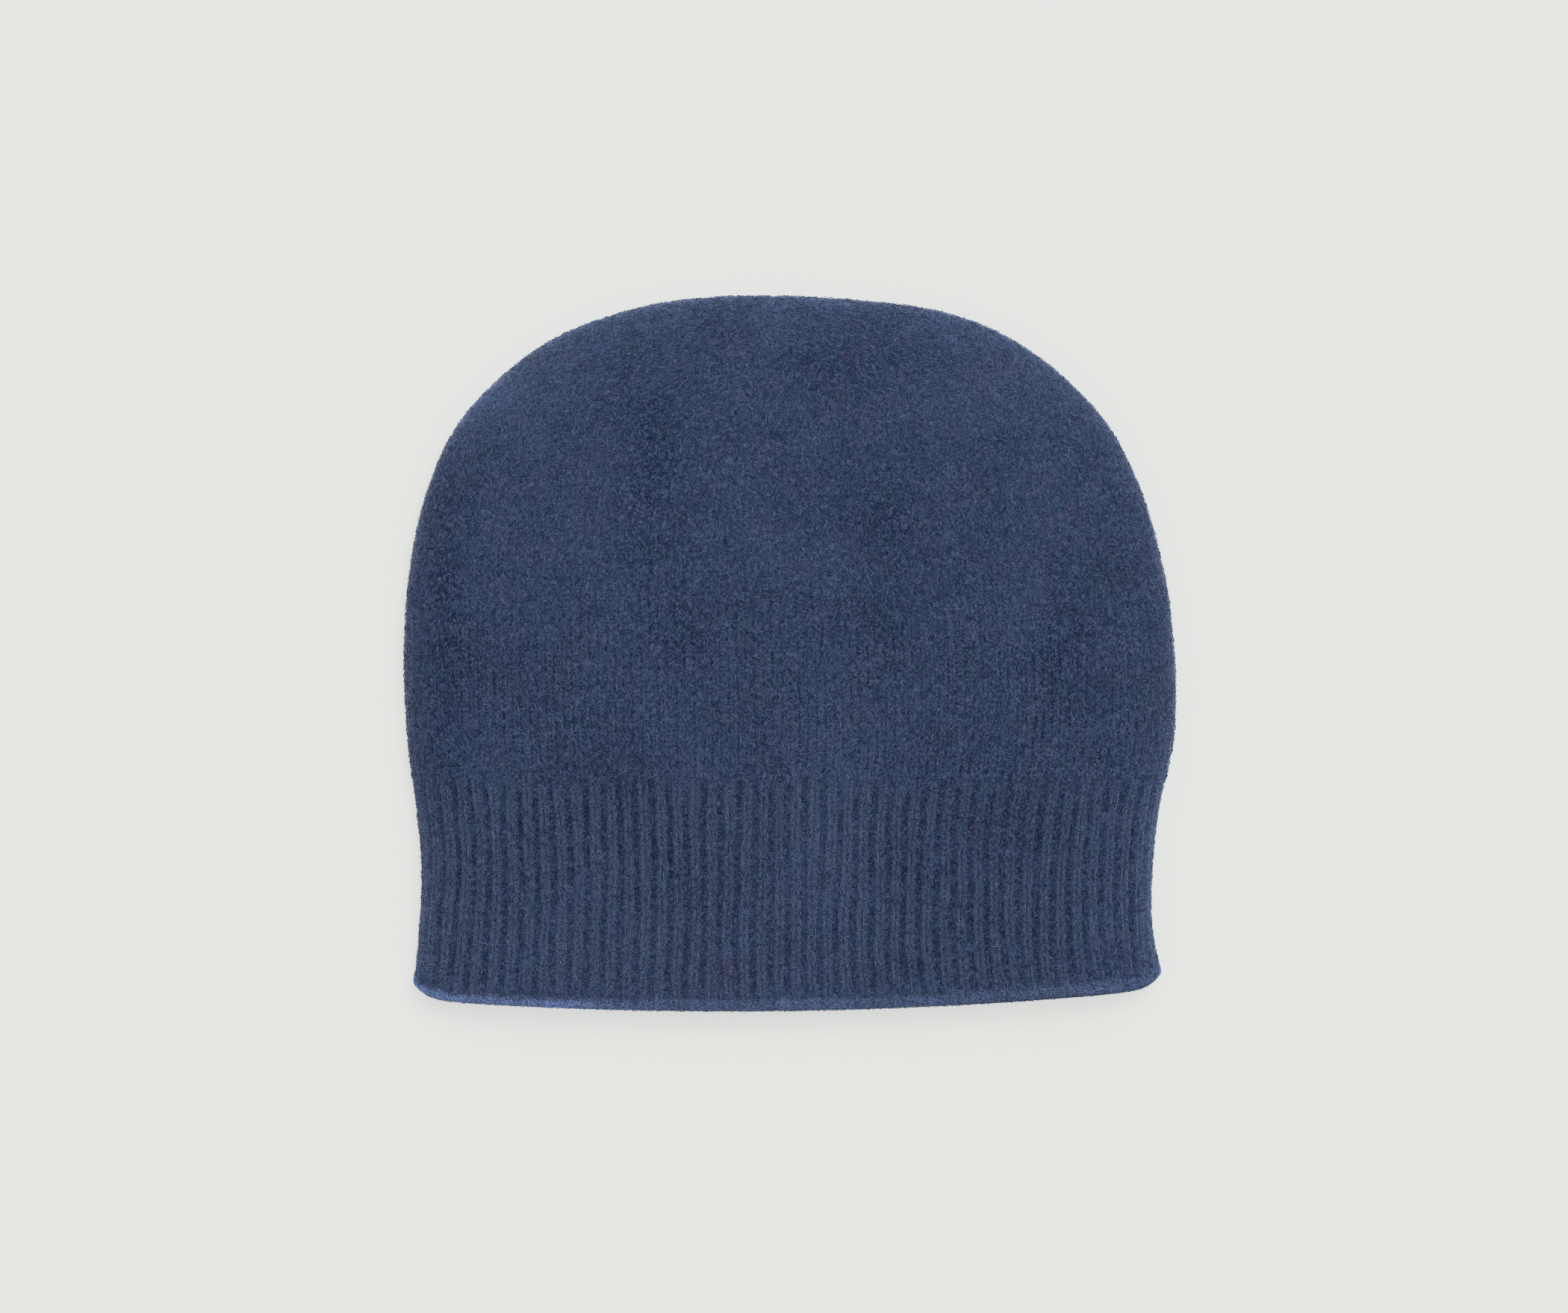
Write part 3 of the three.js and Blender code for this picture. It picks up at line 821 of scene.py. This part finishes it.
def knit_material(name, ribbed):
    """Felted knit for one piece of the hat."""
    shape, yarn, _ = settings()
    material, n = bare_material(name)
    place = n.add("ShaderNodeTexCoord").outputs["Object"]
    knit_map = n.add("ShaderNodeUVMap")
    knit_map.uv_map = "Knit"
    knit = knit_map.outputs["UV"]
    felt = place_group(n, shared("Felted Strands", felted_strands_group), "felt", Place=place, Strand_Width=0.33)
    stitches = place_group(n, shared("Knit Stitches", stitch_group), "stitches", Knit=knit, Place=place)
    split = n.add("ShaderNodeSeparateXYZ")
    n.put(split.inputs[0], knit)
    up = n.math("MULTIPLY", split.outputs[1], shape.course_pitch / MM)
    if ribbed:
        seen = n.span(up, shape.band_depth / MM - 1, shape.band_depth / MM + 1, 0.8, 0.5)
        seen = n.math("MULTIPLY", seen, n.span(up, 1.5, 8.0, 0.15, 1.0))
    else:
        seen = n.span(up, 85.0, 150.0, 0.95, 0.2)
    # grooves between the legs read darker, as the light doesn't reach down into them
    grooves = n.math("MULTIPLY", n.math("SUBTRACT", 1.0, stitches.outputs["Height"]), seen)
    pits = n.math("MAXIMUM", felt.outputs["Pits"], n.math("MULTIPLY", grooves, 0.8))
    heathered = place_group(
        n,
        shared("Heathered Yarn", yarn_colour_group),
        "yarn colour",
        Place=place,
        Yarn=(*yarn.base, 1),
        Strands=felt.outputs["Strands"],
        Pits=pits,
        Strand_Strength=0.62,
        Pit_Strength=0.9,
    )
    colour = heathered.outputs["Color"]
    # a paler blue for the hem's felt and for the painted highlight, sheen and light, less where shade is painted
    # on the hem's lip; its pits are painted shade
    felt_and_painted_light_mask = n.add("ShaderNodeAttribute")
    felt_and_painted_light_mask.attribute_name = "felt"
    ragged = n.noise(n.vector("SCALE", place, 1000.0), 0.6, 2.0, 0.6)
    pale = n.math("MULTIPLY", felt_and_painted_light_mask.outputs["Fac"], n.span(ragged, 0.3, 0.65, 0.45, 1.0))
    bright = n.math("MAXIMUM", felt_and_painted_light_mask.outputs["Fac"], 1.0)
    shaded = n.math("SUBTRACT", bright, n.math("MULTIPLY", pits, 0.75))
    shaded = n.math("ADD", shaded, n.math("MULTIPLY", felt.outputs["Strands"], 0.5))
    shaded = n.math("MULTIPLY", shaded, heathered.outputs["Shade"])
    felt_and_painted_light_colour = n.vector("SCALE", tuple(yarn.hem), shaded)
    colour = n.mix(n.math("MULTIPLY", pale, 0.8), colour, felt_and_painted_light_colour)
    relief = n.math(
        "ADD",
        n.math("MULTIPLY", n.math("MULTIPLY", stitches.outputs["Height"], seen), 0.5),
        n.math("MULTIPLY", felt.outputs["Height"], 0.6),
    )
    raised = n.add("ShaderNodeBump", Height=relief, Strength=0.55, Distance=0.6 * MM)
    wool_surface(n, Base_Color=colour, Roughness=0.94, Specular_IOR_Level=0.12, Normal=raised.outputs[0])
    return material


def fibre_material(name):
    """Loose fibres: each has its own tone, kept in the mesh."""
    yarn = settings()[1]
    material, n = bare_material(name)
    tone = n.add("ShaderNodeAttribute")
    tone.attribute_name = "tone"
    place = n.add("ShaderNodeTexCoord").outputs["Object"]
    heathered = place_group(
        n,
        shared("Heathered Yarn", yarn_colour_group),
        "yarn colour",
        Place=place,
        Yarn=(*yarn.base, 1),
        Strands=n.span(tone.outputs["Fac"], 0.35, 1.0, smooth=False),
        Pits=n.span(tone.outputs["Fac"], 0.35, 0.0, smooth=False),
        Strand_Strength=0.9,
        Pit_Strength=0.9,
    )
    colour = heathered.outputs["Color"]
    # the fibres too turn paler blue for the hem's felt and for the painted highlight, sheen and light, less
    # where shade is painted on the hem's lip
    felt_and_painted_light_mask = n.add("ShaderNodeAttribute")
    felt_and_painted_light_mask.attribute_name = "felt"
    bright = n.math("MAXIMUM", felt_and_painted_light_mask.outputs["Fac"], 1.0)
    lit = n.math("MULTIPLY", bright, n.span(tone.outputs["Fac"], 0.0, 1.0, 0.2, 1.8, smooth=False))
    pale = n.vector("SCALE", tuple(yarn.hem), n.math("MULTIPLY", lit, heathered.outputs["Shade"]))
    colour = n.mix(felt_and_painted_light_mask.outputs["Fac"], colour, pale)
    wool_surface(n, Base_Color=colour, Roughness=0.85, Specular_IOR_Level=0.15)
    return material


def strips_mesh(name, count, steps):
    """So many loose strips, each steps faces long, to be laid on the hat as fibres."""
    form = bmesh.new()
    bmesh.ops.create_grid(form, x_segments=steps, y_segments=2 * count - 1, size=0.5)
    form.faces.ensure_lookup_table()
    between = [face for n, face in enumerate(form.faces) if (n // steps) % 2]
    bmesh.ops.delete(form, geom=between, context="FACES_ONLY")
    loose = [edge for edge in form.edges if not edge.link_faces]
    bmesh.ops.delete(form, geom=loose, context="EDGES")
    mesh = bpy.data.meshes.new(name)
    form.to_mesh(mesh)
    form.free()
    if len(mesh.vertices) != 2 * (steps + 1) * count:
        raise RuntimeError(f"{name}: {len(mesh.vertices)} points for {count} fibres")
    return mesh


def fuzz_mesh(skin, name, seed, count, low, high, knit, size, spread, steps, tones):
    """Loose fibres that lie on the knit from row low to row high, on its upper layer and its side folds.
    knit gives the knit's relief and the light and dark painted on it, size is a fibre's length and width, spread
    how far it strays from the wale's way, steps how many faces it has, and tones its middle tone, how far that
    strays and how much of the knit's painted light and dark it takes on."""
    shape, yarn, _ = settings()
    dip, shine = knit
    rng = np.random.default_rng(seed)
    tries = count * 8
    around = rng.uniform(-0.3, 0.3, tries)
    row = rng.uniform(low, high, tries)
    share = skin.read(skin.round_length * skin.row_length, around, row)
    shows = skin.read(skin.points, around, row)[:, 2] > 0.5 * MM
    kept = (rng.uniform(0, share.max(), tries) < share) & shows
    around, row = around[kept][:count], row[kept][:count]
    count = len(around)
    length = size[0] * rng.lognormal(0, 0.4, count)
    heading = rng.normal(math.pi / 2, spread, count) + math.pi * rng.integers(0, 2, count)
    curl = rng.normal(0, 1.1, count)
    lift = yarn.fibre_lift * rng.uniform(0.1, 2.0, count)
    width = size[1] * rng.uniform(0.6, 1.5, count)
    tilt = rng.normal(0, 0.5, count)
    round_length = np.maximum(skin.read(skin.round_length, around, row), 0.02)
    row_length = np.maximum(skin.read(skin.row_length, around, row), 0.02)
    centre, outward = [], []
    ends = np.linspace(-0.5, 0.5, steps + 1)
    for at in ends:
        bend = heading + curl * at
        a = around + np.cos(bend) * length * at / round_length
        r = np.clip(row + np.sin(bend) * length * at / row_length, 0, 0.999)
        out = skin.read(skin.normals, a, r)
        out /= np.linalg.norm(out, axis=1)[:, None]
        deep = dip(shape, a, skin.height_at(r))
        off = lift * (1 - 1.6 * abs(at)) - deep if steps > 1 else lift * (0.6 + at) - deep
        centre.append(skin.read(skin.points, a, r) + out * off[:, None])
        outward.append(out)
    centre = np.stack(centre, axis=1)
    outward = np.stack(outward, axis=1)
    side = np.cross(np.gradient(centre, axis=1), outward)
    side /= np.maximum(np.linalg.norm(side, axis=2), 1e-9)[..., None]
    side = side * np.cos(tilt)[:, None, None] + outward * np.sin(tilt)[:, None, None]
    half = width[:, None, None] / 2 * np.interp(ends, (-0.5, 0, 0.5), (0.5, 1.0, 0.35))[None, :, None]
    points = np.stack([centre + side * half, centre - side * half], axis=1)
    points[..., 2] = np.maximum(points[..., 2], 0.02 * MM)
    mesh = strips_mesh(name, count, steps)
    mesh.vertices.foreach_set("co", points.ravel())
    above = skin.height_at(row)
    # each fibre's tone takes the pile's patches, painted shade along the left edge among them, and the light and
    # dark painted on the stitches
    middle = tones[0] + pile_patches(skin, around, row) * PATCH_SHARE
    tone = np.clip(rng.normal(middle, tones[1], count) + shine(shape, around, above) * tones[2], 0, 1)
    # how pale each fibre is, from felt and from painted sheen, highlight and shade
    for mark, values in (("tone", tone), ("felt", felt_and_painted_light(skin, around, row, above))):
        layer = mesh.attributes.new(mark, "FLOAT", "POINT")
        layer.data.foreach_set("value", np.repeat(values, 2 * (steps + 1)).astype(np.float32))
    mesh.update()
    return mesh


class KNITHAT_OT_crown(Operator):
    """Make the plain knit crown, a closed shell with its lining side"""

    bl_idname = "knit_hat.crown"
    bl_label = "Crown"

    def execute(self, context):
        skin = hat_skin()
        shape = settings()[0]
        start = skin.row_at(shape.band_depth)
        outside = start + (1 - start) * (1 - (1 - np.linspace(0, 1, CROWN_ROWS + 1)) ** 1.12)
        inside = np.linspace(start, CROWN_LINING_TOP, CROWN_LINING_ROWS)
        path = [(CROWN_LINING_TOP, shape.crown_wall, None, 0.0)]
        path += [(row, shape.crown_wall, 0.0, 0.0) for row in inside[::-1]]
        path += [(row, 0.0, 0.0, 1.0) for row in outside]
        points, knit, felt = wall(skin, CROWN_COLUMNS, path, crown_dip)
        mesh = sheet_mesh("crown_knit", CROWN_COLUMNS, len(path) - 1)
        close_shell(mesh, points, knit, felt, CROWN_COLUMNS, True)
        show("crown_knit", mesh, knit_material("Plain Knit", False), "crown_knit", "crown")
        return {"FINISHED"}


class KNITHAT_OT_band(Operator):
    """Make the ribbed band, a closed shell with real ribs and a rolled hem"""

    bl_idname = "knit_hat.band"
    bl_label = "Ribbed band"

    def execute(self, context):
        skin = hat_skin()
        shape = settings()[0]
        top = skin.row_at(shape.band_depth)
        hem = skin.row_at(shape.band_wall / 2)
        half = shape.band_wall / 2
        path = [(row, 0.0, 0.0, 1.0) for row in np.linspace(hem, top, BAND_ROWS + 1)]
        path += [(row, shape.band_wall, 0.0, 0.0) for row in np.linspace(top, hem, BAND_LINING_ROWS + 1)]
        for n in range(HEM_STEPS, 0, -1):
            bend = math.pi * n / (HEM_STEPS + 1)
            path.append((hem, half * (1 - math.cos(bend)), half * math.sin(bend), 0.6 * math.cos(bend / 2) ** 2))
        path.append(path[0])
        points, knit, felt = wall(skin, BAND_COLUMNS, path, rib_depth)
        mesh = sheet_mesh("band_rib", BAND_COLUMNS, len(path) - 1)
        close_shell(mesh, points, knit, felt, BAND_COLUMNS, False)
        show("band_rib", mesh, knit_material("Ribbed Knit", True), "band_rib", "ribbed_band")
        return {"FINISHED"}


class KNITHAT_OT_fuzz(Operator):
    """Make the loose fibres that lie on the crown and the band"""

    bl_idname = "knit_hat.fuzz"
    bl_label = "Fuzz"

    def execute(self, context):
        skin = hat_skin()
        shape, yarn, _ = settings()
        top = skin.row_at(shape.band_depth)
        fibres = fibre_material("Loose Fibres")
        hem = skin.row_at(4.5 * MM)
        plain, ribbed = (crown_dip, wale_light), (rib_depth, rib_light)
        curl, nap = (yarn.curl_length, yarn.curl_width), (yarn.nap_length, yarn.nap_width)
        smooth, short = (0.49, 0.16, 0.38), (0.5, 0.25, 0.44)
        lined, short_lined = (0.55, 0.24, 0.36), (0.55, 0.3, 0.44)
        patches = (
            # name, seed, fibres, low, high, knit, size, spread, steps, tones, slot
            ("crown_curls", 31, yarn.curls, top, 0.998, plain, curl, 0.8, 2, smooth, "crown_knit"),
            ("crown_nap", 32, yarn.nap, top, 0.998, plain, nap, 0.9, 1, short, "crown_knit"),
            ("band_curls", 33, yarn.curls // 3, 0.001, top, ribbed, curl, 0.8, 2, lined, "band_rib"),
            ("band_nap", 34, yarn.nap, 0.001, top, ribbed, nap, 0.9, 1, short_lined, "band_rib"),
            ("hem_nap", 35, yarn.nap // 6, 0.001, hem, ribbed, nap, 0.9, 1, (0.55, 0.42, 0.1), "band_rib"),
        )
        for name, *how, slot in patches:
            show(name, fuzz_mesh(skin, name, *how), fibres, slot)
        return {"FINISHED"}


class KNITHAT_OT_stage(Operator):
    """Lay the floor, set the soft light and place the camera straight above"""

    bl_idname = "knit_hat.stage"
    bl_label = "Stage"

    def execute(self, context):
        stage = settings()[2]
        scene = context.scene
        form = bmesh.new()
        bmesh.ops.create_grid(form, x_segments=1, y_segments=1, size=FLOOR_REACH)
        mesh = bpy.data.meshes.new("floor")
        form.to_mesh(mesh)
        form.free()
        floor = bpy.data.objects.new("floor", mesh)
        scene.collection.objects.link(floor)
        material, n = bare_material("Pale Floor")
        matt = [channel * (1 - stage.floor_glow) for channel in stage.floor]
        glow = {"Emission_Color": (*stage.floor, 1), "Emission_Strength": stage.floor_glow}
        paint = n.add(
            "ShaderNodeBsdfPrincipled", Base_Color=(*matt, 1), Roughness=0.9, Specular_IOR_Level=0.1, **glow
        )
        n.add("ShaderNodeOutputMaterial", Surface=paint.outputs[0])
        mesh.materials.append(material)
        scene.world = bpy.data.worlds.new("Pale Room")
        scene.world.use_nodes = True
        n = Nodes(scene.world.node_tree)
        # the room itself looks as pale as the floor, whatever light it gives
        seen = n.add("ShaderNodeLightPath").outputs["Is Camera Ray"]
        sky = scene.world.node_tree.nodes["Background"]
        n.put(sky.inputs["Color"], ROOM_COLOUR)
        n.put(
            sky.inputs["Strength"],
            n.math("MULTIPLY_ADD", seen, stage.backdrop - stage.surround, stage.surround),
        )
        light = bpy.data.lights.new("soft_key", "SUN")
        light.energy = stage.key
        light.angle = KEY_BREADTH
        key = bpy.data.objects.new("soft_key", light)
        lean = math.tan(stage.key_tilt)
        towards = Vector((lean * KEY_WAY[0], lean * KEY_WAY[1], 1))
        key.rotation_euler = towards.to_track_quat("Z", "Y").to_euler()
        scene.collection.objects.link(key)
        camera = bpy.data.cameras.new("above")
        camera.lens = LENS_MM
        camera.sensor_width = 36
        camera.clip_end = 20
        view = bpy.data.objects.new("above", camera)
        view.location = (*VIEW_POINT, stage.view_height)
        scene.collection.objects.link(view)
        scene.camera = view
        scene.cycles.filter_width = 1.0
        # the denoiser takes the fibres' colours as they are, or it would iron them out
        scene.cycles.denoising_prefilter = "NONE"
        scene.view_settings.view_transform = "Standard"
        scene.view_settings.look = "None"
        return {"FINISHED"}


class KNITHAT_PT_panel(Panel):
    """Sizes, colours and steps of the knit hat"""

    bl_idname = "KNITHAT_PT_panel"
    bl_label = "Knit Hat"
    bl_space_type = "VIEW_3D"
    bl_region_type = "UI"
    bl_category = "Knit Hat"

    def draw(self, context):
        for group in settings():
            column = self.layout.box().column()
            for name in type(group).__annotations__:
                column.prop(group, name)
        for step in STEPS:
            self.layout.operator(step.bl_idname)


STEPS = (KNITHAT_OT_crown, KNITHAT_OT_band, KNITHAT_OT_fuzz, KNITHAT_OT_stage)
CLASSES = (KnitHatShape, KnitHatYarn, KnitHatStage, *STEPS, KNITHAT_PT_panel)


def register():
    for cls in CLASSES:
        bpy.utils.register_class(cls)
    bpy.types.Scene.knit_hat_shape = PointerProperty(type=KnitHatShape)
    bpy.types.Scene.knit_hat_yarn = PointerProperty(type=KnitHatYarn)
    bpy.types.Scene.knit_hat_stage = PointerProperty(type=KnitHatStage)


def unregister():
    del bpy.types.Scene.knit_hat_stage
    del bpy.types.Scene.knit_hat_yarn
    del bpy.types.Scene.knit_hat_shape
    for cls in reversed(CLASSES):
        bpy.utils.unregister_class(cls)


def main():
    register()
    bpy.ops.knit_hat.crown()
    bpy.ops.knit_hat.band()
    bpy.ops.knit_hat.fuzz()
    bpy.ops.knit_hat.stage()


if __name__ == "__main__":
    main()
